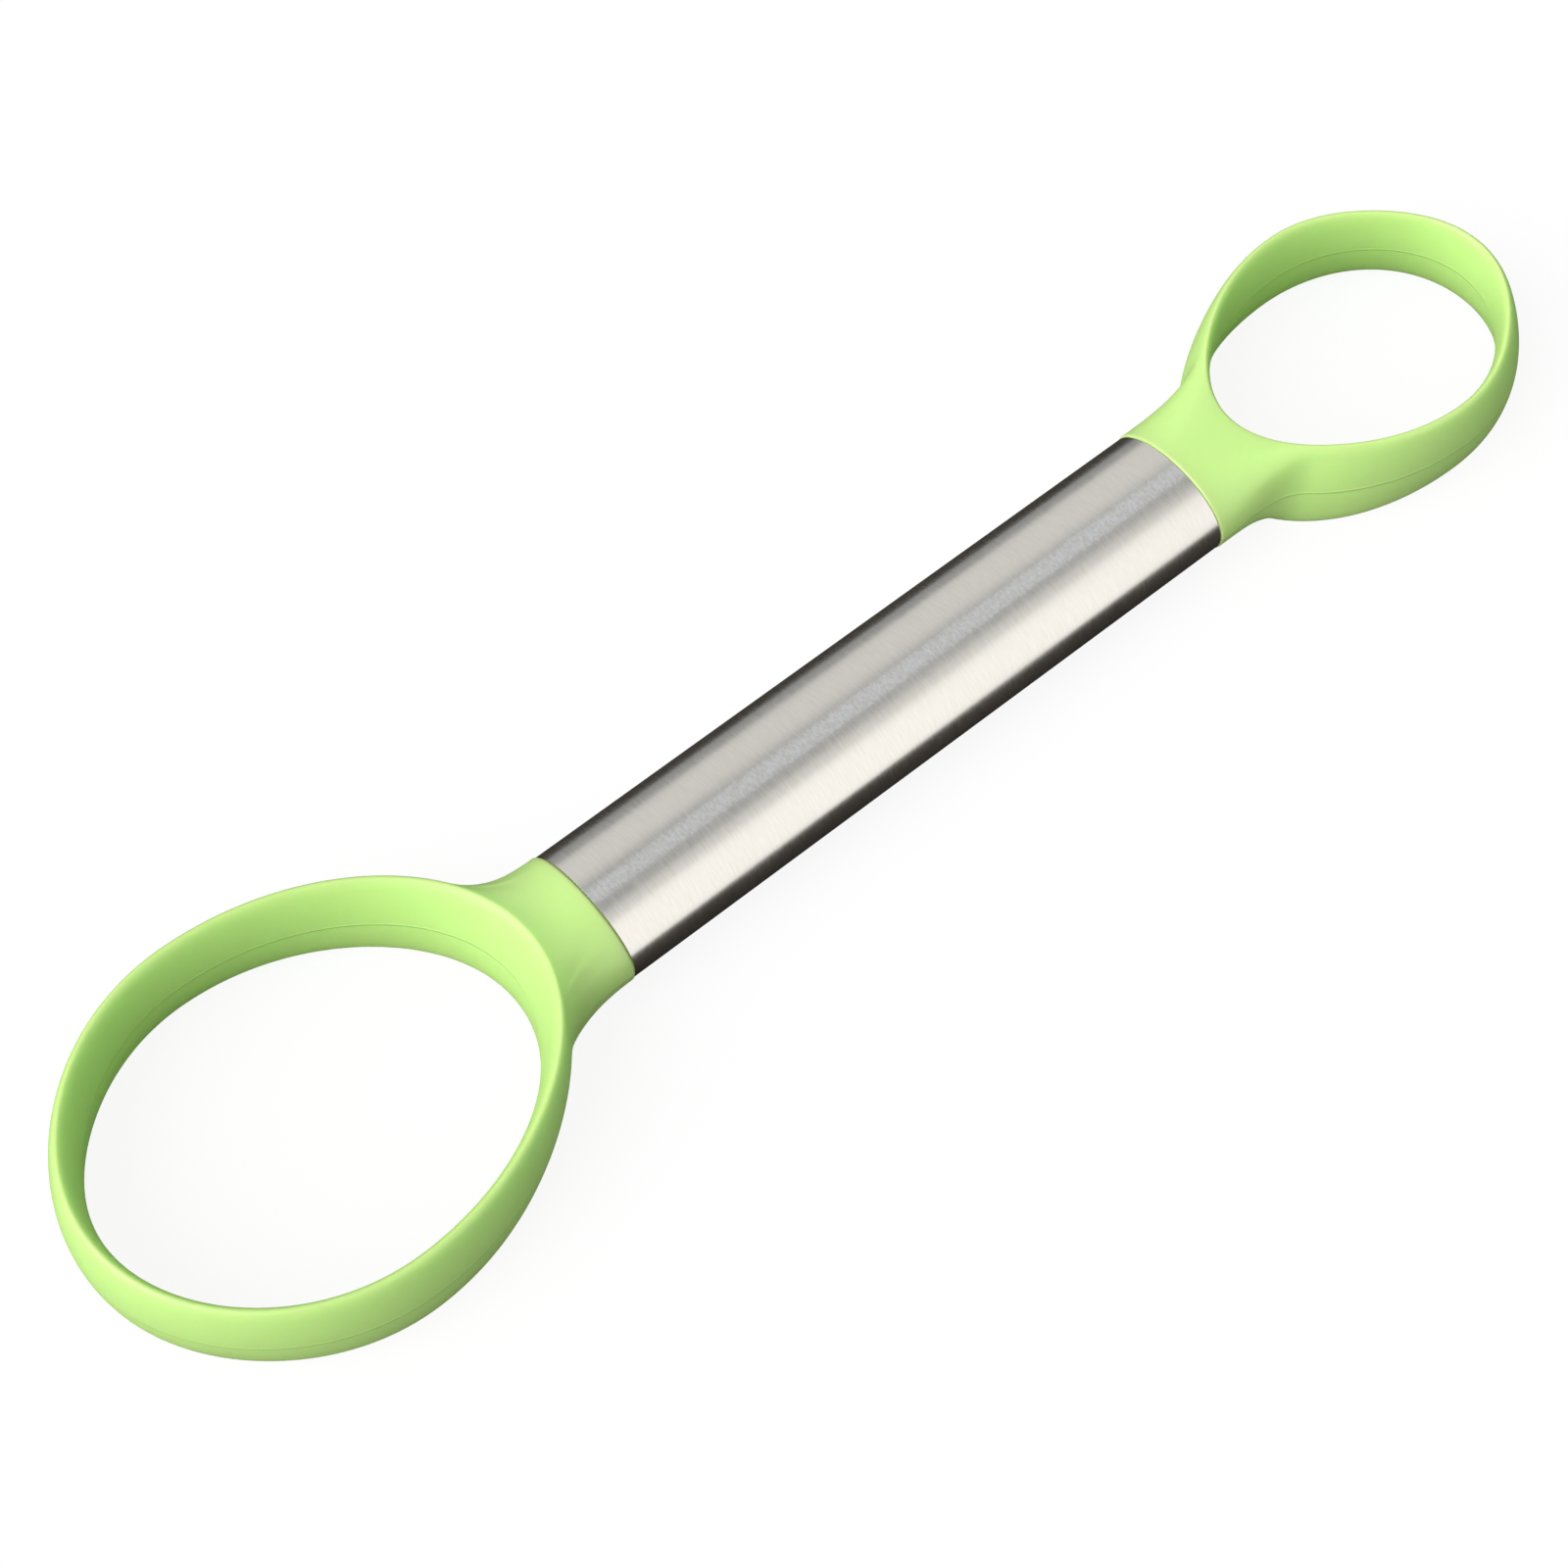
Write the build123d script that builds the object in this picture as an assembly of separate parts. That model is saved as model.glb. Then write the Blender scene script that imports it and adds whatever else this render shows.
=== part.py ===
from build123d import *
import math
import os
from types import SimpleNamespace

# Melon baller: a stainless tube handle of oval section with a moulded ring head pressed into each end.
# Millimetres. X runs along the handle, large ring at -X. Z is up, and Z = 0 is the plane that both rings rest on.
# The origin is the middle of the whole outline, on that plane.

# Handle tube
tube_length = 99.0
tube_width = 20.0
tube_height = 13.5
tube_wall = 0.8
tube_edge_chamfer = 0.15

# What both heads share. A ring has a proud rim, which reaches over the neck, and a flush rim, level with it.
band_height = 14.2
rim_crown = 0.5
rest_cut = 0.15
collar_proud = 0.15
collar_edge_radius = 0.35
waist_depth = 0.65
neck_below_rim = 0.1
neck_squareness_share = 0.4

# Spigot: the hidden plug that holds a head in the tube
spigot_length = 22.0
spigot_clearance = 0.35
spigot_wall = 1.8
spigot_tip_chamfer = 0.5
crush_rib_count = 8
crush_rib_width = 1.2
crush_rib_clearance = 0.03
crush_rib_tip_gap = 4.0

# Large ring. Each reach runs along the handle, from the ring's widest line to the middle of its wall.
large_widest_from_tube = 43.7
large_half_width = 26.1
large_near_reach_proud = 35.3
large_near_reach_flush = 32.6
large_far_reach = 28.5
large_pinch_proud_share = 0.01
large_pinch_flush_share = 0.02
large_rim_thickness = 1.2
large_mid_thickness = 3.7
large_flare_radius = 12.5

# Small ring
small_widest_from_tube = 35.8
small_half_width = 18.3
small_near_reach_proud = 27.1
small_near_reach_flush = 25.6
small_far_reach_proud = 22.2
small_far_reach_flush = 20.8
small_pinch_proud_share = -0.012
small_pinch_flush_share = 0.04
small_rim_thickness = 1.3
small_mid_thickness = 3.5
small_flare_radius = 8.0

# How many sections and points the lofts go through
band_count = 9
neck_count = 5
outline_count = 24
oval_count = 20
bisection_count = 40
overrun = 2.0

half_band = band_height / 2
bore_ry = tube_width / 2 - tube_wall
bore_rz = tube_height / 2 - tube_wall
collar_ry = tube_width / 2 + collar_proud
collar_rz = tube_height / 2 + collar_proud

large = SimpleNamespace(
    widest_from_tube=large_widest_from_tube,
    half_width=large_half_width,
    near_reach_proud=large_near_reach_proud,
    near_reach_flush=large_near_reach_flush,
    far_reach_proud=large_far_reach,
    far_reach_flush=large_far_reach,
    pinch_proud_share=large_pinch_proud_share,
    pinch_flush_share=large_pinch_flush_share,
    rim_thickness=large_rim_thickness,
    mid_thickness=large_mid_thickness,
    flare_radius=large_flare_radius,
)
small = SimpleNamespace(
    widest_from_tube=small_widest_from_tube,
    half_width=small_half_width,
    near_reach_proud=small_near_reach_proud,
    near_reach_flush=small_near_reach_flush,
    far_reach_proud=small_far_reach_proud,
    far_reach_flush=small_far_reach_flush,
    pinch_proud_share=small_pinch_proud_share,
    pinch_flush_share=small_pinch_flush_share,
    rim_thickness=small_rim_thickness,
    mid_thickness=small_mid_thickness,
    flare_radius=small_flare_radius,
)


def mix(low, high, share):
    return low + (high - low) * share


def closed_wire(points):
    return Wire([Spline(points, periodic=True)])


def half_of(solid):
    """The half at +Y."""
    return split(solid, Plane.XZ, keep=Keep.BOTTOM)


def oval_bar(radius_y, radius_z, start, length):
    """Bar of oval section along X."""
    plane = Plane(origin=(start, 0, 0), x_dir=(0, 1, 0), z_dir=(1, 0, 0))
    return extrude(plane * Ellipse(radius_y, radius_z), length)


def ring_point(head, z, side, angle):
    """Point of the ring's egg-shaped outline: outer skin (side 1), middle of the wall (0) or inner skin (-1).
    The wall is a lens, thick at the mould's parting line and thin at both rims."""
    proud = (z / half_band + 1) / 2
    thickness = mix(head.mid_thickness, head.rim_thickness, (z / half_band) ** 2)
    offset = side * thickness / 2
    near = mix(head.near_reach_flush, head.near_reach_proud, proud) + offset
    far = mix(head.far_reach_flush, head.far_reach_proud, proud) + offset
    pinch = mix(head.pinch_flush_share, head.pinch_proud_share, proud)
    reach = far if math.cos(angle) > 0 else near
    fullness = 1 - pinch * math.sin(2 * angle) ** 2
    x = head.widest_from_tube + reach * fullness * math.cos(angle)
    y = (head.half_width + offset) * fullness * math.sin(angle)
    return x, y, z


def wall_section(head, angle):
    """Section across the ring's wall, at one place round it: a flat-sided lens with bevelled rims."""
    peak = half_band + rest_cut
    shoulder = peak - rim_crown
    outer = [ring_point(head, z, 1, angle) for z in (-shoulder, 0, shoulder)]
    inner = [ring_point(head, z, -1, angle) for z in (shoulder, 0, -shoulder)]
    top = ring_point(head, peak, 0, angle)
    bottom = ring_point(head, -peak, 0, angle)
    corners = [*outer, top, *inner, bottom]
    return Wire([Line(start, end) for start, end in zip(corners, corners[1:] + corners[:1])])


def make_band(head):
    """Half of the ring band. Both rims are cut flat where the ring can rest."""
    sections = [wall_section(head, math.pi * i / band_count) for i in range(band_count + 1)]
    reach = head.widest_from_tube + head.near_reach_proud + head.half_width
    return Solid.make_loft(sections) & Box(2 * reach, 2 * reach, band_height)


def inner_core(head):
    """What lies inside the middle of the ring's wall."""
    angles = [math.tau * i / outline_count for i in range(outline_count)]
    levels = [(half_band + overrun) * share for share in (-1, 0, 1)]
    return Solid.make_loft([closed_wire([ring_point(head, z, 0, angle) for angle in angles]) for z in levels])


def flare_contact(head):
    """Where the neck's round flare leaves its straight side, and where it touches the ring's outer wall."""
    low = math.pi / 2
    high = math.pi
    for _ in range(bisection_count):
        angle = (low + high) / 2
        x, y, z = ring_point(head, 0, 1, angle)
        ahead_x, ahead_y, ahead_z = ring_point(head, 0, 1, angle + 1 / outline_count)
        step = math.hypot(ahead_x - x, ahead_y - y)
        centre_x = x + head.flare_radius * (ahead_y - y) / step
        centre_y = y - head.flare_radius * (ahead_x - x) / step
        if centre_y > collar_ry + head.flare_radius:
            low = angle
        else:
            high = angle
    return centre_x, x


def neck_section(head, x, flare_start, flare_end):
    """Cross section of the neck: the collar's oval at the tube, squarer towards the ring, waisted on the proud side."""
    past = max(x - flare_start, 0)
    half_width = collar_ry + head.flare_radius - math.sqrt(head.flare_radius**2 - past**2)
    crest_share = min(x / ring_point(head, half_band, 1, math.pi)[0], 1)
    flush_z = mix(collar_rz, half_band - neck_below_rim, crest_share)
    proud_z = flush_z - waist_depth * math.sin(math.pi * crest_share)
    blend = (x / flare_end) ** 2 * (3 - 2 * x / flare_end)
    power = 1 - neck_squareness_share * blend
    points = []
    for i in range(oval_count):
        angle = math.tau * i / oval_count
        c = math.cos(angle)
        s = math.sin(angle)
        y = half_width * math.copysign(abs(c) ** power, c)
        z = (proud_z if s > 0 else flush_z) * math.copysign(abs(s) ** power, s)
        points.append((x, y, z))
    return closed_wire(points)


def make_neck(head):
    """Half of the flared neck, from the collar's flat end to the middle of the ring's wall."""
    flare_start, flare_end = flare_contact(head)
    stations = [flare_end * i / neck_count for i in range(neck_count + 1)]
    neck = Solid.make_loft([neck_section(head, x, flare_start, flare_end) for x in stations])
    neck = half_of(neck - inner_core(head))
    collar_edge = neck.faces().sort_by(Axis.X)[0].edges().sort_by(SortBy.LENGTH)[-1]
    return fillet(collar_edge, collar_edge_radius)


def make_spigot():
    """Hollow oval plug with crush ribs, from the collar into the tube."""
    body_ry = bore_ry - spigot_clearance
    body_rz = bore_rz - spigot_clearance
    body = oval_bar(body_ry, body_rz, -spigot_length, spigot_length + overrun)
    body = chamfer(body.faces().sort_by(Axis.X)[0].edges(), spigot_tip_chamfer)
    rib_length = spigot_length - crush_rib_tip_gap
    rib_envelope = oval_bar(bore_ry - crush_rib_clearance, bore_rz - crush_rib_clearance, -rib_length, rib_length)
    for i in range(crush_rib_count):
        turn = 360 * (i + 0.5) / crush_rib_count
        blade = Box(rib_length, tube_width, crush_rib_width, align=(Align.MAX, Align.MIN, Align.CENTER))
        body += rib_envelope & (Rot(turn, 0, 0) * blade)
    hollow_length = spigot_length + overrun
    return body - oval_bar(body_ry - spigot_wall, body_rz - spigot_wall, -hollow_length, hollow_length)


def make_head(head):
    """One moulding in its own frame: tube's end plane at X = 0, ring towards +X, proud rim up."""
    stem = make_neck(head) + half_of(make_spigot())
    half = make_band(head) + stem
    return half + mirror(half, Plane.XZ)


def make_tube():
    outer = oval_bar(tube_width / 2, tube_height / 2, -tube_length / 2, tube_length)
    tube = outer - oval_bar(bore_ry, bore_rz, -tube_length / 2 - overrun, tube_length + 2 * overrun)
    return chamfer(tube.faces().filter_by(GeomType.PLANE).edges(), tube_edge_chamfer)


def reach_from_tube(head):
    far = mix(head.far_reach_flush, head.far_reach_proud, 0.5)
    return head.widest_from_tube + far + head.mid_thickness / 2


def main():
    os.makedirs("parts", exist_ok=True)
    handle_x = (reach_from_tube(large) - reach_from_tube(small)) / 2
    handle_place = Pos(handle_x, 0, half_band)
    large_place = handle_place * Pos(-tube_length / 2, 0, 0) * Rot(0, 0, 180)
    small_place = handle_place * Pos(tube_length / 2, 0, 0) * Rot(180, 0, 0)
    export_step(handle_place * make_tube(), "parts/handle_tube.step")
    export_step(large_place * make_head(large), "parts/large_ring_head.step")
    export_step(small_place * make_head(small), "parts/small_ring_head.step")


if __name__ == "__main__":
    main()
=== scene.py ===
import math
from types import SimpleNamespace

import bmesh
import bpy
import numpy as np
from mathutils import Matrix, Vector


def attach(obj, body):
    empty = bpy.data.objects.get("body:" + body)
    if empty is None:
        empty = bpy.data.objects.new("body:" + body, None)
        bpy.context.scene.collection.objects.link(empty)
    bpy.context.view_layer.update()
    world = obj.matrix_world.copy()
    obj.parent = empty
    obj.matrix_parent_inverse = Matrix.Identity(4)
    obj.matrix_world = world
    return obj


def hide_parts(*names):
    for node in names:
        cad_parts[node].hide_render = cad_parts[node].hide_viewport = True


# Melon baller: a brushed steel tube with a moulded ring head in each end.
# Lengths are in millimetres unless a comment says metres, and mm turns them into metres.
mm = 0.001

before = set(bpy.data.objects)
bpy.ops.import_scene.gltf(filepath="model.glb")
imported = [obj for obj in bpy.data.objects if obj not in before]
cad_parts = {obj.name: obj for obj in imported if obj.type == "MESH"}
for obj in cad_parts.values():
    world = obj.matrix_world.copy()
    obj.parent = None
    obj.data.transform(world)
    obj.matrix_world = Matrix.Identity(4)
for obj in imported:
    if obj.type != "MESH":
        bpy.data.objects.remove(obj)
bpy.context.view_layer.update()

# The same values as the part's source
tube_length = 99.0
tube_width = 20.0
tube_height = 13.5
tube_wall = 0.8
band_height = 14.2
collar_proud = 0.15
collar_edge_radius = 0.35
spigot_length = 22.0
spigot_clearance = 0.35
spigot_wall = 1.8
spigot_tip_chamfer = 0.5
crush_rib_count = 8
crush_rib_width = 1.2
crush_rib_clearance = 0.03
crush_rib_tip_gap = 4.0
half_band = band_height / 2
bore_ry = tube_width / 2 - tube_wall
bore_rz = tube_height / 2 - tube_wall
body_ry = bore_ry - spigot_clearance
body_rz = bore_rz - spigot_clearance
collar_ry = tube_width / 2 + collar_proud
collar_rz = tube_height / 2 + collar_proud

# Each head. A reach runs along the handle, from the ring's widest line to the middle of its wall.
# From skin_inset on, the values are the scene's own: how far each skin lies inside the part's, how far from
# the middle the neck's sides meet the ring, and how far the neck's sides and its top run straight on, at the
# collar (start) and at the ring (end).
large = SimpleNamespace(
    name="large_ring_skin", node="large_ring_head", turned=False,
    widest_from_tube=43.7, half_width=26.1,
    near_reach_proud=35.3, near_reach_flush=32.6, far_reach_proud=28.5, far_reach_flush=28.5,
    pinch_proud_share=0.01, pinch_flush_share=0.02, rim_thickness=1.2, mid_thickness=3.7,
    skin_inset=0.01, contact_y=14.7,
    side_start=6.2, side_end=6.0, top_start=2.7, top_end=3.0,
)
small = SimpleNamespace(
    name="small_ring_skin", node="small_ring_head", turned=True,
    widest_from_tube=35.8, half_width=18.3,
    near_reach_proud=27.1, near_reach_flush=25.6, far_reach_proud=22.2, far_reach_flush=20.8,
    pinch_proud_share=-0.012, pinch_flush_share=0.04, rim_thickness=1.3, mid_thickness=3.5,
    skin_inset=0.12, contact_y=12.2,
    side_start=6.8, side_end=4.6, top_start=2.7, top_end=3.0,
)

# How the dressed surface goes beyond the part's source
rim_start = 0.8          # how far up the wall, as a share, the rows of a rim start
rim_power = 14           # how late the wall rounds off towards a rim
rise_share = 0.25        # how far the neck turns up into the wall at the proud rim
waist_drop = 0.42        # how far the neck's top curve is pulled down beside the proud rim
waist_power = 3          # how fast that fades towards the neck's sides
corner_share = 0.4       # how much of the collar's oval goes by the edge's turning, the rest by its length
proud_power = 3.3        # squareness of the neck's edge on the ring, towards the proud rim
flush_power = 5.0        # and towards the flush rim
loop_fade = 1.6          # how far out, in sizes of that edge, the grid goes back to straight rows
corner_power = 3         # how late the neck's direction turns round the ring, towards the edge's corners
smoothing_passes = 10    # how often the neck's directions at the ring are evened out

# The ring's grid: columns go round the ring, rows go round the closed section of its wall
columns = 300
patch_columns = 32       # columns on each side of the neck's middle that the neck takes up
skin_rows = 30
rim_rows = 10            # rows from a skin to the top of a rim
crest_rows = 9           # of those, how many the neck's edge climbs on the proud rim
rows = 2 * (2 * rim_rows + skin_rows)
bottom_row = 0           # the neck's edge on the flush side, along that rim's crest
middle_row = rim_rows + skin_rows // 2
top_row = rim_rows + skin_rows + crest_rows
inner_row = rows - middle_row

# Fineness of the rest
neck_steps = 30
collar_edge_steps = 5
bisection_count = 40
oval_samples = 400
tiny = 1e-9
weld_distance = 1e-7     # metres
sharp_degrees = 50


def mix(low, high, share):
    return low + (high - low) * share


def unit(vectors):
    return vectors / np.linalg.norm(vectors, axis=1, keepdims=True)


def reach_from_tube(head):
    far = mix(head.far_reach_flush, head.far_reach_proud, 0.5)
    return head.widest_from_tube + far + head.mid_thickness / 2


handle_x = (reach_from_tube(large) - reach_from_tube(small)) / 2


def half_thickness(head, z):
    """Lens-shaped half of the wall, rounded off at both rims. The inset keeps it inside the part's box."""
    share = np.minimum(np.abs(z / half_band), 1)
    lens = mix(head.mid_thickness, head.rim_thickness, share ** 2) / 2 - head.skin_inset
    return lens * np.sqrt(1 - share ** rim_power)


def ring_point(head, z, offset, turn):
    """Point of the ring's egg-shaped outline, offset outwards from the middle of the wall.
    turn is 0 at the neck and pi at the far end."""
    proud = (z / half_band + 1) / 2
    near = mix(head.near_reach_flush, head.near_reach_proud, proud) + offset
    far = mix(head.far_reach_flush, head.far_reach_proud, proud) + offset
    pinch = mix(head.pinch_flush_share, head.pinch_proud_share, proud)
    reach = np.where(np.cos(turn) < 0, far, near)
    fullness = 1 - pinch * np.sin(2 * turn) ** 2
    x = head.widest_from_tube - reach * fullness * np.cos(turn)
    y = (head.half_width + offset) * fullness * np.sin(turn)
    return np.stack([x, y, z + 0 * x], axis=-1)


def wall_profile(head):
    """Height and offset of each row, from the flush rim up the outer skin and back down the inner one."""
    shoulder = rim_start * half_band
    skin = np.linspace(-shoulder, shoulder, skin_rows + 1)
    rim_turn = np.pi / 2 * np.arange(1, rim_rows + 1) / rim_rows
    rim = shoulder + (half_band - shoulder) * np.sin(rim_turn)
    z = np.concatenate([-rim[::-1], skin, rim, rim[-2::-1], skin[::-1], -rim[:-1]])
    side = np.repeat([1, -1], [rows // 2 + 1, rows // 2 - 1])
    return z, side * half_thickness(head, z)


def turn_at(head, z, offset, y):
    """The turn at which the ring's outline is y away from the middle."""
    low = 0.0
    high = math.pi / 2
    for _ in range(bisection_count):
        middle = (low + high) / 2
        if ring_point(head, z, offset, middle)[1] < y:
            low = middle
        else:
            high = middle
    return low


def quarter_oval(ry, rz, shares):
    """Angles on an oval that cut its quarter, from the Y to the Z axis, at these shares of its length."""
    dense = np.linspace(0, math.pi / 2, oval_samples)
    steps = np.hypot(np.diff(ry * np.cos(dense)), np.diff(rz * np.sin(dense)))
    run = np.concatenate([[0], np.cumsum(steps)])
    return np.interp(shares * run[-1], run, dense)


def ring_grid(head):
    """Points of the ring, row by row. Round the neck the grid bends to a square with rounded corners."""
    z, offset = wall_profile(head)
    column = np.arange(columns)
    column = np.where(column > columns // 2, column - columns, column)
    row = np.arange(rows)
    row = np.where(row > inner_row, row - rows, row) - middle_row
    above = top_row - middle_row
    below = middle_row - bottom_row
    edge_turn = turn_at(head, 0.0, half_thickness(head, 0.0), head.contact_y)
    near = np.clip(np.abs(column) / patch_columns, 0, 1)
    past = np.clip(np.abs(column) - patch_columns, 0, None) / (columns / 2 - patch_columns)

    # Places across and up, in sizes of the neck's edge
    across = np.sign(column) * (near + (math.pi / edge_turn - 1) * past)
    across, up = np.meshgrid(across, row / np.where(row > 0, above, below))
    size = np.maximum(np.abs(across), np.abs(up)) + tiny
    power = np.where(up > 0, proud_power, flush_power)
    rounded = size / ((np.abs(across) + tiny) ** power + np.abs(up) ** power) ** (1 / power)
    fade = np.clip((size - 1) / (loop_fade - 1), 0, 1)
    scale = mix(rounded, 1, fade ** 2 * (3 - 2 * fade))
    place = middle_row + up * scale * np.where(up > 0, above, below)
    every_row = np.arange(rows)
    grid_z = np.interp(place, every_row, z, period=rows)
    grid_offset = np.interp(place, every_row, offset, period=rows)
    return ring_point(head, grid_z, grid_offset, across * scale * edge_turn).reshape(-1, 3)


def at(row, column):
    """Index of a point of the ring's grid."""
    return (row % rows) * columns + column % columns


def ring_faces():
    """Faces of the ring's grid, without the patch that the neck takes up."""
    faces = []
    for row in range(rows):
        for column in range(-columns // 2, columns // 2):
            covered = bottom_row <= row < top_row and -patch_columns <= column < patch_columns
            if not covered:
                lower = (at(row, column), at(row, column + 1))
                upper = (at(row + 1, column + 1), at(row + 1, column))
                faces.append(lower + upper)
    return faces


def neck_loop():
    """Rows and columns of the neck's edge on the ring, from the proud side's middle and first towards +Y."""
    loop = [(top_row, column) for column in range(patch_columns)]
    loop += [(row, patch_columns) for row in range(top_row, bottom_row, -1)]
    loop += [(bottom_row, column) for column in range(patch_columns, -patch_columns, -1)]
    loop += [(row, -patch_columns) for row in range(bottom_row, top_row)]
    loop += [(top_row, column) for column in range(-patch_columns, 0)]
    return loop


def collar_angles(loop, ends, normal):
    """Where each point of the edge comes from on the collar's oval. Each quarter of the edge takes a quarter
    of the oval, shared out partly by its length and partly by how much the ring's surface turns along it."""
    steps = np.linalg.norm(np.roll(ends, -1, axis=0) - ends, axis=1)
    bends = np.arccos(np.clip((normal * np.roll(normal, -1, axis=0)).sum(axis=1), -1, 1))
    length = np.concatenate([[0], np.cumsum(steps)])
    bend = np.concatenate([[0], np.cumsum(bends)])
    middles = [(middle_row, patch_columns), (bottom_row, 0), (middle_row, -patch_columns)]
    quarter = [0] + [loop.index(middle) for middle in middles] + [len(loop)]
    angles = np.zeros(len(loop))
    for i, from_side in enumerate((False, True, False, True)):
        start = quarter[i]
        end = quarter[i + 1]
        k = np.arange(start, end)
        by_length, by_bend = [(run[k] - run[start]) / (run[end] - run[start]) for run in (length, bend)]
        share = mix(by_length, by_bend, corner_share)
        part = quarter_oval(collar_ry, collar_rz, share if from_side else 1 - share)
        angles[k] = (part, -part, part - math.pi, math.pi - part)[i]
    return angles


def edge_directions(loop, ends, along, normal):
    """How the neck runs into the ring: level at the flush rim, and partly up the wall at the proud one."""
    on_side = [bottom_row < row < top_row for row, column in loop]
    from_middle = [abs(column / patch_columns) ** corner_power for row, column in loop]
    edge_share = np.where(on_side, 1.0, from_middle)[:, None]
    level = mix(np.array([[1.0, 0, 0]]), along * np.sign(along[:, :1]), edge_share)
    level = unit(level - normal * (level * normal).sum(axis=1, keepdims=True))
    square = unit(np.cross(normal, np.roll(ends, -1, axis=0) - np.roll(ends, 1, axis=0)))
    square *= math.copysign(1, square[0][0])
    proud_edge = np.array([row > middle_row for row, column in loop])[:, None]
    direction = level + rise_share * proud_edge * (square - level)
    for _ in range(smoothing_passes):
        direction = unit(np.roll(direction, 1, axis=0) + 2 * direction + np.roll(direction, -1, axis=0))
    return direction


def neck_rings(head, angles, ends, direction):
    """Loops of points along the neck, from the ring to the collar."""
    collar_x = np.full(len(angles), collar_edge_radius)
    starts = np.stack([collar_x, collar_ry * np.cos(angles), collar_rz * np.sin(angles)], axis=-1)
    side_share = np.cos(angles)[:, None] ** 2
    drop = waist_drop * np.clip(np.sin(angles), 0, 1)[:, None] ** waist_power * np.array([0, 0, 1.0])
    first = starts + mix(head.top_start, head.side_start, side_share) * np.array([1.0, 0, 0]) - drop
    last = ends - direction * mix(head.top_end, head.side_end, side_share)
    rings = []
    for step in range(neck_steps):
        t = step / neck_steps
        near_collar = (1 - t) ** 3 * starts + 3 * (1 - t) ** 2 * t * first
        near_ring = 3 * (1 - t) * t ** 2 * last + t ** 3 * ends
        rings.append(near_collar + near_ring)
    return rings[::-1]


def spigot_rings(angles):
    """Loops of points from the collar inwards: rounded edge, flat end, ribbed spigot and hollow."""
    cosine = np.cos(angles)
    sine = np.sin(angles)

    def oval(x, ry, rz):
        return np.stack([x + 0 * cosine, ry * cosine, rz * sine], axis=-1)

    on_rib = np.zeros(len(angles), bool)
    for i in range(crush_rib_count):
        turn = math.tau * (i + 0.5) / crush_rib_count
        beside = np.abs(math.cos(turn) * body_rz * sine - math.sin(turn) * body_ry * cosine)
        ahead = math.cos(turn) * body_ry * cosine + math.sin(turn) * body_rz * sine
        on_rib |= (beside < crush_rib_width / 2) & (ahead > 0)
    rib_ry = np.where(on_rib, bore_ry - crush_rib_clearance, body_ry)
    rib_rz = np.where(on_rib, bore_rz - crush_rib_clearance, body_rz)
    rib_end = crush_rib_tip_gap - spigot_length
    rings = []
    for step in range(1, collar_edge_steps + 1):
        turn = math.pi / 2 * step / collar_edge_steps
        inset = collar_edge_radius * (1 - math.cos(turn))
        rings.append(oval(collar_edge_radius * (1 - math.sin(turn)), collar_ry - inset, collar_rz - inset))
    rings.append(oval(0.0, rib_ry, rib_rz))
    rings.append(oval(rib_end, rib_ry, rib_rz))
    rings.append(oval(rib_end, body_ry, body_rz))
    rings.append(oval(spigot_tip_chamfer - spigot_length, body_ry, body_rz))
    rings.append(oval(-spigot_length, body_ry - spigot_tip_chamfer, body_rz - spigot_tip_chamfer))
    rings.append(oval(-spigot_length, body_ry - spigot_wall, body_rz - spigot_wall))
    rings.append(oval(0.0, body_ry - spigot_wall, body_rz - spigot_wall))
    return rings


def head_mesh(head):
    """Points and faces of one moulding: ring, neck, collar and spigot as a single closed surface.
    In its own frame the tube's end is at x = 0, the ring lies towards +x and the proud rim is up."""
    grid = ring_grid(head)
    loop = neck_loop()
    edge = np.array([at(row, column) for row, column in loop])
    ends = grid[edge]

    # The ring's own surface along that edge
    along = unit(np.array([grid[at(row, column + 1)] - grid[at(row, column - 1)] for row, column in loop]))
    upward = np.array([grid[at(row + 1, column)] - grid[at(row - 1, column)] for row, column in loop])
    normal = unit(np.cross(along, upward))

    angles = collar_angles(loop, ends, normal)
    direction = edge_directions(loop, ends, along, normal)
    rings = neck_rings(head, angles, ends, direction) + spigot_rings(angles)
    hollow_bottom = np.zeros((1, 3))
    points = np.concatenate([grid, *rings, hollow_bottom])

    faces = ring_faces()
    count = len(loop)
    outer = edge
    for i in range(len(rings)):
        inner = len(grid) + i * count + np.arange(count)
        for k in range(count):
            following = (k + 1) % count
            faces.append((outer[k], outer[following], inner[following], inner[k]))
        outer = inner
    for k in range(count):
        faces.append((outer[k], outer[(k + 1) % count], len(points) - 1))

    x, y, z = points.T
    if head.turned:
        placed = np.stack([handle_x + tube_length / 2 + x, -y, half_band - z], axis=-1)
    else:
        placed = np.stack([handle_x - tube_length / 2 - x, -y, half_band + z], axis=-1)
    return placed, faces


def make_object(name, points, faces, material):
    mesh = bpy.data.meshes.new(name)
    mesh.from_pydata((points * mm).tolist(), [], [tuple(int(i) for i in face) for face in faces])
    bm = bmesh.new()
    bm.from_mesh(mesh)
    loose = [vertex for vertex in bm.verts if not vertex.link_faces]
    bmesh.ops.delete(bm, geom=loose, context="VERTS")
    bmesh.ops.remove_doubles(bm, verts=bm.verts, dist=weld_distance)
    bmesh.ops.recalc_face_normals(bm, faces=bm.faces)
    bm.to_mesh(mesh)
    bm.free()
    mesh.polygons.foreach_set("use_smooth", [True] * len(mesh.polygons))
    mesh.set_sharp_from_angle(angle=math.radians(sharp_degrees))
    mesh.materials.append(material)
    thing = bpy.data.objects.new(name, mesh)
    bpy.context.scene.collection.objects.link(thing)
    return thing


# The middle of a noise's values, which most of it stays in
noise_low = 0.3
noise_high = 0.7


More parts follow.
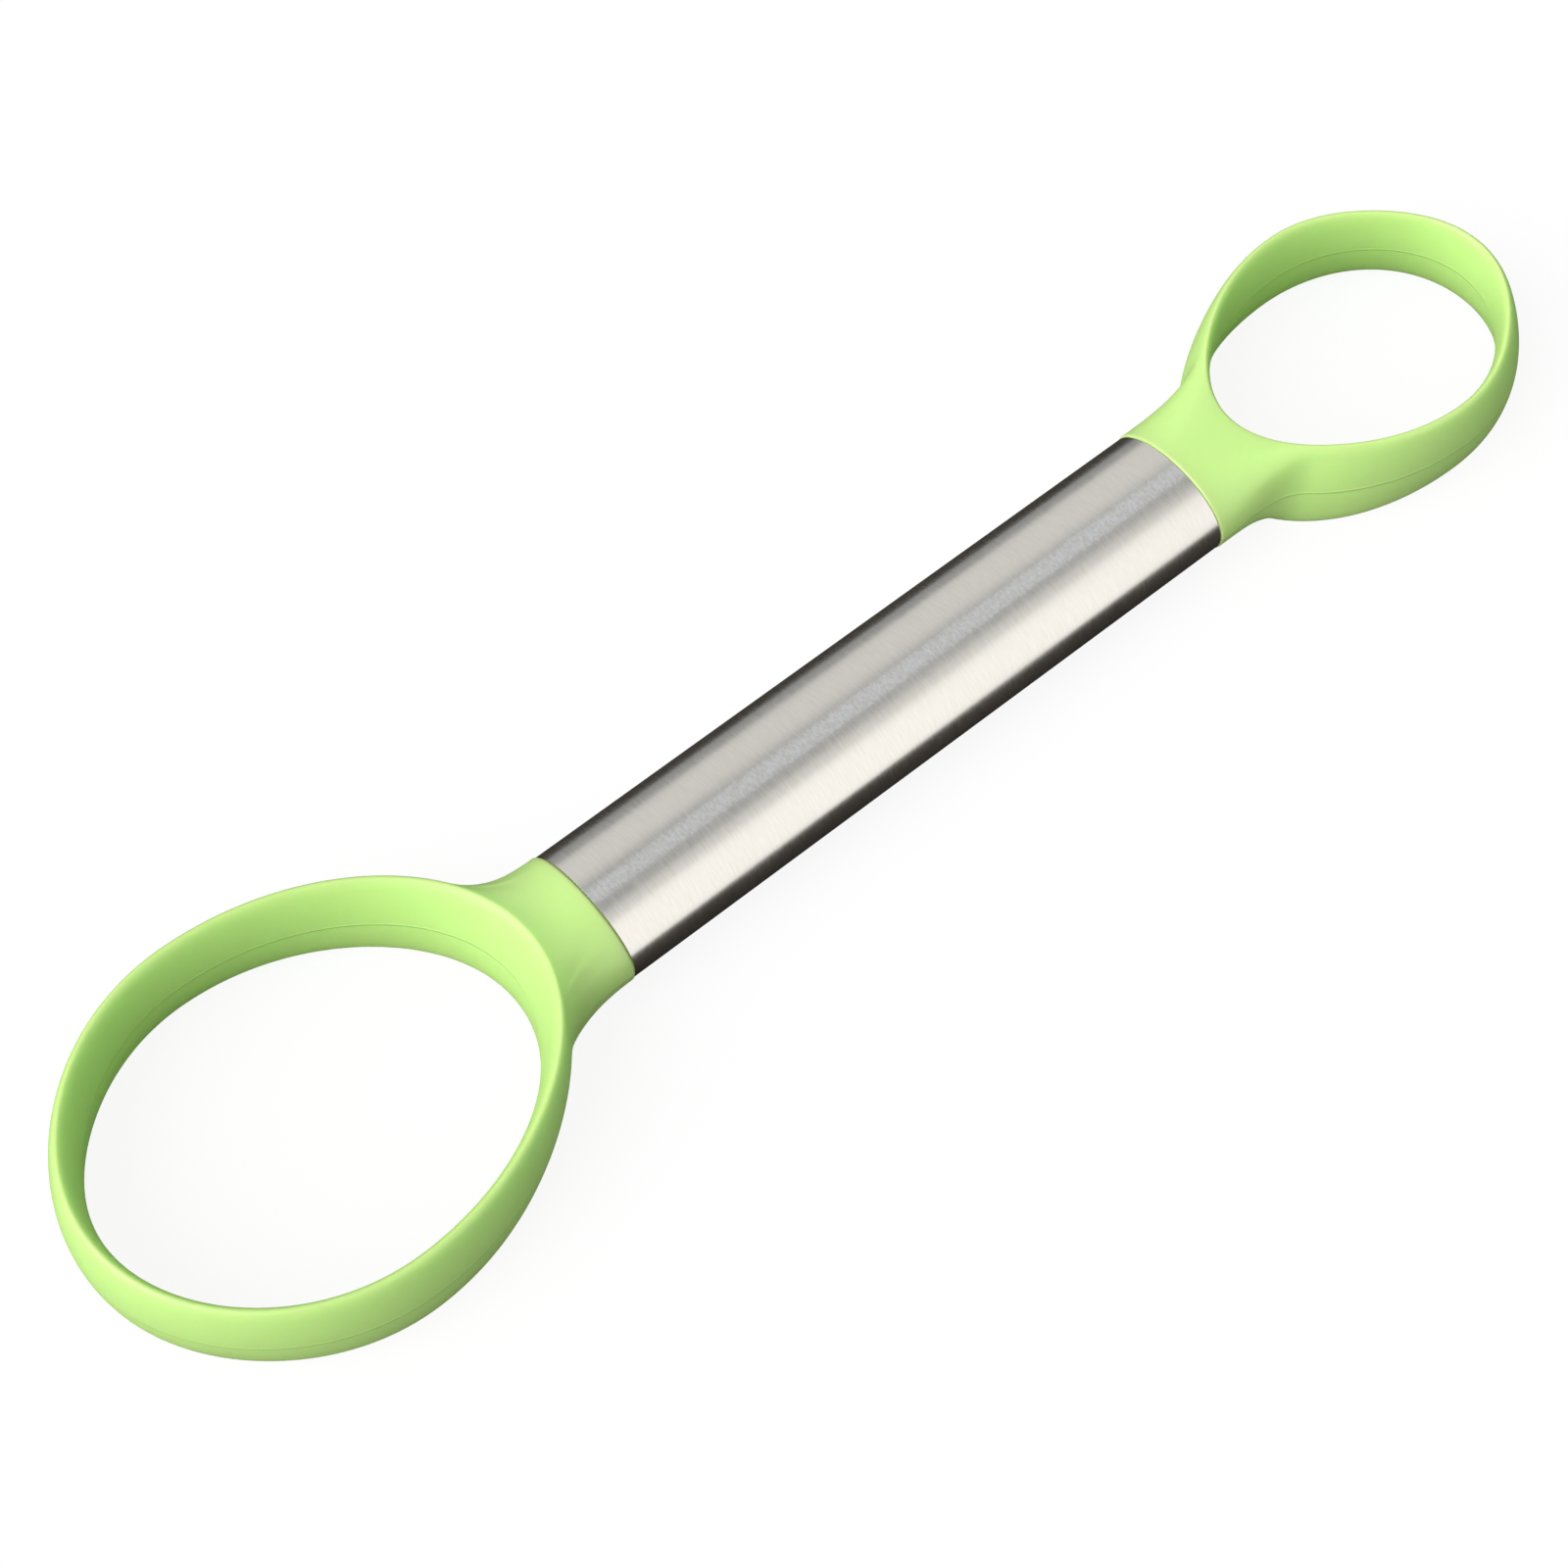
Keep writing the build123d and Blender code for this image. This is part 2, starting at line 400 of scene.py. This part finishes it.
class Nodes:
    """Short calls for building a material's node tree."""

    def __init__(self, tree):
        self.tree = tree

    def add(self, kind, **values):
        node = self.tree.nodes.new(kind)
        for key, value in values.items():
            setattr(node, key, value)
        return node

    def feed(self, node, socket, value):
        if isinstance(value, bpy.types.NodeSocket):
            self.tree.links.new(value, node.inputs[socket])
        else:
            node.inputs[socket].default_value = value

    def math(self, operation, *values):
        node = self.add("ShaderNodeMath", operation=operation)
        for i, value in enumerate(values):
            self.feed(node, i, value)
        return node.outputs[0]

    def noise(self, vector, scale, detail, roughness=0.5):
        node = self.add("ShaderNodeTexNoise")
        self.feed(node, "Vector", vector)
        self.feed(node, "Scale", scale)
        self.feed(node, "Detail", detail)
        self.feed(node, "Roughness", roughness)
        return node.outputs["Fac"]

    def grain(self, vector, per_metre, detail, roughness=0.5):
        """Noise with a scale of its own along each axis."""
        node = self.add("ShaderNodeMapping")
        self.feed(node, "Vector", vector)
        self.feed(node, "Scale", per_metre)
        return self.noise(node.outputs["Vector"], 1.0, detail, roughness)

    def spread(self, value, from_low, from_high, to_low, to_high):
        node = self.add("ShaderNodeMapRange")
        for socket, v in zip(("Value", "From Min", "From Max", "To Min", "To Max"),
                             (value, from_low, from_high, to_low, to_high)):
            self.feed(node, socket, v)
        return node.outputs["Result"]

    def vary(self, noise, low, high):
        """Spread a noise over a range."""
        return self.spread(noise, noise_low, noise_high, low, high)

    def blend(self, share, low, high):
        node = self.add("ShaderNodeMix", data_type="RGBA")
        self.feed(node, "Factor", share)
        self.feed(node, 6, low)
        self.feed(node, 7, high)
        return node.outputs[2]

    def bump(self, height, distance, normal=None):
        node = self.add("ShaderNodeBump")
        self.feed(node, "Height", height)
        self.feed(node, "Distance", distance)
        self.feed(node, "Strength", 1.0)
        if normal is not None:
            self.feed(node, "Normal", normal)
        return node.outputs["Normal"]


def new_material(name):
    material = bpy.data.materials.new(name)
    material.use_nodes = True
    nodes = Nodes(material.node_tree)
    shader = material.node_tree.nodes["Principled BSDF"]
    return material, nodes, shader


# Green plastic. Scales of noises are per metre.
plastic_deep = (0.575, 0.88, 0.272, 1)
plastic_pale = (0.6, 0.9, 0.287, 1)
plastic_cloud_scale = 35.0
plastic_gloss_scale = 260.0
plastic_roughness = (0.38, 0.44)
plastic_ior = 1.5
under_skin_share = 0.5
under_skin_reach = (0.5, 1.0, 0.25)
under_skin_depth = 3.0
mould_line_reach = 0.25
mould_line_height = 0.1
peel_scale = 1400.0
peel_height = 0.004


def green_plastic():
    """Glossy plastic with a little light under its skin and a raised mould line half way up the band."""
    material, n, shader = new_material("green_plastic")
    place = n.add("ShaderNodeTexCoord").outputs["Object"]
    cloud = n.noise(place, plastic_cloud_scale, 3.0)
    n.feed(shader, "Base Color", n.blend(n.vary(cloud, 0.0, 1.0), plastic_deep, plastic_pale))
    gloss = n.noise(place, plastic_gloss_scale, 3.0)
    n.feed(shader, "Roughness", n.vary(gloss, *plastic_roughness))
    shader.inputs["IOR"].default_value = plastic_ior
    shader.inputs["Subsurface Weight"].default_value = under_skin_share
    shader.inputs["Subsurface Radius"].default_value = under_skin_reach
    shader.inputs["Subsurface Scale"].default_value = under_skin_depth * mm
    height = n.add("ShaderNodeSeparateXYZ")
    n.feed(height, 0, place)
    away = n.math("ABSOLUTE", n.math("SUBTRACT", height.outputs["Z"], half_band * mm))
    line = n.spread(away, 0.0, mould_line_reach * mm, 1.0, 0.0)
    peel = n.bump(n.noise(place, peel_scale, 2.0), peel_height * mm)
    n.feed(shader, "Normal", n.bump(line, mould_line_height * mm, peel))
    return material


# Brushed steel. Scales of noises are per metre along X, Y and Z: the brush strokes run round the tube.
steel_dark = (0.51, 0.5, 0.475, 1)
steel_light = (0.56, 0.55, 0.525, 1)
stroke_scale = (3600.0, 420.0, 420.0)
fine_scale = (3000.0, 1500.0, 1500.0)
steel_cloud_scale = (60.0, 240.0, 240.0)
stroke_roughness = (0.17, 0.22)
cloud_roughness = (0.0, 0.03)
steel_anisotropy = 0.55
stroke_height = 0.0022
fine_height = 0.0016
# The speckled streak along the tube's top, towards -Y, is painted highlight: the speckles are bumps, and
# their lighter colour is painted.
highlight_streak_y = 1.45          # how far from the middle the streak lies, towards -Y
highlight_streak_core = 1.0        # half the width at full strength
highlight_streak_edge = 2.1        # half the width at which it ends
highlight_streak_rise = 1.0        # how far above the tube's middle it comes in, which keeps it off the underside
speckle_scale = (2600.0, 1400.0, 1400.0)
speckle_highlight_range = (0.38, 0.64)
speckle_highlight_colour = (0.62, 0.625, 0.64, 1)
speckle_height = 0.007


def brushed_steel():
    """Fine strokes round the tube, with speckle marks along its top that a streak of painted highlight makes
    lighter.
    """
    material, n, shader = new_material("brushed_steel")
    place = n.add("ShaderNodeTexCoord").outputs["Object"]
    strokes = n.grain(place, stroke_scale, 3.0, 0.6)
    fine = n.grain(place, fine_scale, 3.0, 0.6)
    cloud = n.grain(place, steel_cloud_scale, 2.0)
    tone = n.blend(n.vary(strokes, 0.0, 1.0), steel_dark, steel_light)

    axis = n.add("ShaderNodeSeparateXYZ")
    n.feed(axis, 0, place)
    beside = n.math("ABSOLUTE", n.math("ADD", axis.outputs["Y"], highlight_streak_y * mm))
    across = n.spread(beside, highlight_streak_core * mm, highlight_streak_edge * mm, 1.0, 0.0)
    on_top = n.spread(axis.outputs["Z"], half_band * mm, (half_band + highlight_streak_rise) * mm, 0.0, 1.0)
    highlight_streak = n.math("MULTIPLY", across, on_top)
    speckle_marks_and_highlight = n.math("MULTIPLY", highlight_streak, n.grain(place, speckle_scale, 3.0, 0.7))
    # Painted highlight: inside the streak the speckles lighten the steel's colour.
    tone = n.blend(n.spread(speckle_marks_and_highlight, *speckle_highlight_range, 0.0, 1.0), tone, speckle_highlight_colour)
    n.feed(shader, "Base Color", tone)
    shader.inputs["Metallic"].default_value = 1.0
    shader.inputs["Anisotropic"].default_value = steel_anisotropy
    tangent = n.add("ShaderNodeTangent", direction_type="RADIAL", axis="X")
    n.feed(shader, "Tangent", tangent.outputs["Tangent"])
    roughness = n.math("ADD", n.vary(strokes, *stroke_roughness), n.vary(cloud, *cloud_roughness))
    n.feed(shader, "Roughness", roughness)
    stroke_bump = n.bump(strokes, stroke_height * mm)
    speckle_bump = n.bump(speckle_marks_and_highlight, speckle_height * mm, stroke_bump)
    n.feed(shader, "Normal", n.bump(fine, fine_height * mm, speckle_bump))
    return material


# Floor and the dark card on it
floor_half = 3.0         # metres
floor_colour = (0.32, 0.32, 0.32, 1)
floor_shadow_share = 0.12
floor_brightness = 0.9   # how bright plain white would be on the floor, in the open
flag_half = 0.6          # metres
flag_height = 0.1
flag_colour = (0.06, 0.052, 0.045, 1)
white = (1, 1, 1, 1)


def floor_material():
    """White to the camera and in reflections, with part of its light kept for the tool's soft shadow.
    To all other light the floor is plain and darker."""
    material = bpy.data.materials.new("floor")
    material.use_nodes = True
    n = Nodes(material.node_tree)
    material.node_tree.nodes.clear()
    path = n.add("ShaderNodeLightPath")
    mirrored = n.math("MAXIMUM", path.outputs["Is Glossy Ray"], path.outputs["Is Transmission Ray"])
    seen = n.math("MAXIMUM", path.outputs["Is Camera Ray"], mirrored)
    glow = n.add("ShaderNodeEmission")
    n.feed(glow, "Color", white)
    n.feed(glow, "Strength", 1 - floor_shadow_share * floor_brightness)
    lit = n.add("ShaderNodeBsdfDiffuse")
    n.feed(lit, "Color", (floor_shadow_share, floor_shadow_share, floor_shadow_share, 1))
    both = n.add("ShaderNodeAddShader")
    n.feed(both, 0, glow.outputs[0])
    n.feed(both, 1, lit.outputs[0])
    plain = n.add("ShaderNodeBsdfDiffuse")
    n.feed(plain, "Color", floor_colour)
    choose = n.add("ShaderNodeMixShader")
    n.feed(choose, "Fac", seen)
    n.feed(choose, 1, plain.outputs[0])
    n.feed(choose, 2, both.outputs[0])
    out = n.add("ShaderNodeOutputMaterial")
    n.feed(out, "Surface", choose.outputs[0])
    return material


def flag_material():
    material, n, shader = new_material("flag")
    n.feed(shader, "Base Color", flag_colour)
    n.feed(shader, "Roughness", 1.0)
    shader.inputs["Specular IOR Level"].default_value = 0.0
    return material


def add_plane(name, half, z, material):
    mesh = bpy.data.meshes.new(name)
    corners = [(-half, -half, z), (half, -half, z), (half, half, z), (-half, half, z)]
    mesh.from_pydata(corners, [], [(0, 1, 2, 3)])
    mesh.materials.append(material)
    plane = bpy.data.objects.new(name, mesh)
    bpy.context.scene.collection.objects.link(plane)
    return plane


def add_flag():
    """Dark card just above the floor that shows only in reflections, as the dark lower edge of the steel."""
    flag = add_plane("flag", flag_half, flag_height * mm, flag_material())
    flag.visible_camera = False
    flag.visible_diffuse = False
    flag.visible_shadow = False
    flag.visible_transmission = False


# Camera, fitted to the outlines in the photograph
camera_azimuth = math.radians(-40.451)
camera_elevation = math.radians(58.720)
camera_distance = 469.555
camera_target = Vector((-18.288 + handle_x, -1.336, half_band))
camera_back = Vector((
    math.sin(camera_azimuth) * math.cos(camera_elevation),
    -math.cos(camera_azimuth) * math.cos(camera_elevation),
    math.sin(camera_elevation),
))
camera_right = Vector((math.cos(camera_azimuth), math.sin(camera_azimuth), 0))
focal_pixels = 3814.249
image_pixels = 1600
sensor_width = 36.0
clip_start = 0.01        # metres
clip_end = 30.0          # metres


def place_facing(thing, place, back, right):
    """Put a camera or lamp at a place in metres, looking away from back, with right as its own X axis."""
    up = back.cross(right)
    thing.matrix_world = Matrix((
        (right.x, up.x, back.x, place.x),
        (right.y, up.y, back.y, place.y),
        (right.z, up.z, back.z, place.z),
        (0, 0, 0, 1),
    ))
    bpy.context.scene.collection.objects.link(thing)


def make_camera():
    data = bpy.data.cameras.new("camera")
    data.sensor_width = sensor_width
    data.lens = focal_pixels / image_pixels * sensor_width
    data.clip_start = clip_start
    data.clip_end = clip_end
    camera = bpy.data.objects.new("camera", data)
    place_facing(camera, (camera_target + camera_back * camera_distance) * mm, camera_back, camera_right)
    bpy.context.scene.camera = camera


# Light. Reflections of the cards are the bands along the steel. Each card has its name, its degrees round the
# tube from straight up towards +Y, its length along the tube and width across it in metres, watts and colour.
world_level = 0.49
world_blue_share = 0.985
key_direction = (-0.816, 0.098, 0.57)
key_strength = 2.85
key_spread_degrees = 60
card_distance = 0.9      # metres
cards = (
    ("near", -61, 0.6, 1.36, 1.68, (1, 0.975, 0.93)),
    ("near_soft", -50, 0.6, 1.56, 1.85, (1, 0.975, 0.94)),
    ("fill", 49, 0.8, 0.64, 1.03, (1, 0.97, 0.93)),
    ("strip", 13, 0.8, 0.27, 0.31, (0.95, 0.97, 1)),
)


def add_card(name, degrees, length, width, watts, colour):
    """Soft box that the camera sees mirrored in the tube. It leans along the tube, away from the camera."""
    data = bpy.data.lights.new(name, "AREA")
    data.shape = "RECTANGLE"
    data.size = length
    data.size_y = width
    data.energy = watts
    data.color = colour
    card = bpy.data.objects.new(name, data)
    lean = -camera_back.x
    upright = math.sqrt(1 - lean ** 2)
    turn = math.radians(degrees)
    back = Vector((lean, upright * math.sin(turn), upright * math.cos(turn)))
    along = Vector((1, 0, 0))
    place_facing(card, back * card_distance, back, (along - back * along.dot(back)).normalized())
    card.visible_diffuse = False


def add_key():
    """Even light from one side, as soft as a large softbox."""
    data = bpy.data.lights.new("key", "SUN")
    data.energy = key_strength
    data.angle = math.radians(key_spread_degrees)
    key = bpy.data.objects.new("key", data)
    key.rotation_euler = Vector(key_direction).to_track_quat("Z", "Y").to_euler()
    bpy.context.scene.collection.objects.link(key)


def make_world():
    """White to the camera, and an even soft light to the rest."""
    world = bpy.data.worlds.new("studio")
    bpy.context.scene.world = world
    world.use_nodes = True
    n = Nodes(world.node_tree)
    background = world.node_tree.nodes["Background"]
    path = n.add("ShaderNodeLightPath")
    light = (world_level, world_level, world_level * world_blue_share, 1)
    n.feed(background, "Color", n.blend(path.outputs["Is Camera Ray"], light, white))


make_camera()
plastic = green_plastic()
for head in (large, small):
    points, faces = head_mesh(head)
    skin = make_object(head.name, points, faces, plastic)
    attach(skin, "root")
    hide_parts(head.node)

steel = brushed_steel()
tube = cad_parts["handle_tube"]
for slot in tube.material_slots:
    slot.material = steel

add_plane("floor", floor_half, 0.0, floor_material())
add_flag()
make_world()
add_key()
for card in cards:
    add_card(*card)
bpy.context.scene.view_settings.view_transform = "Standard"
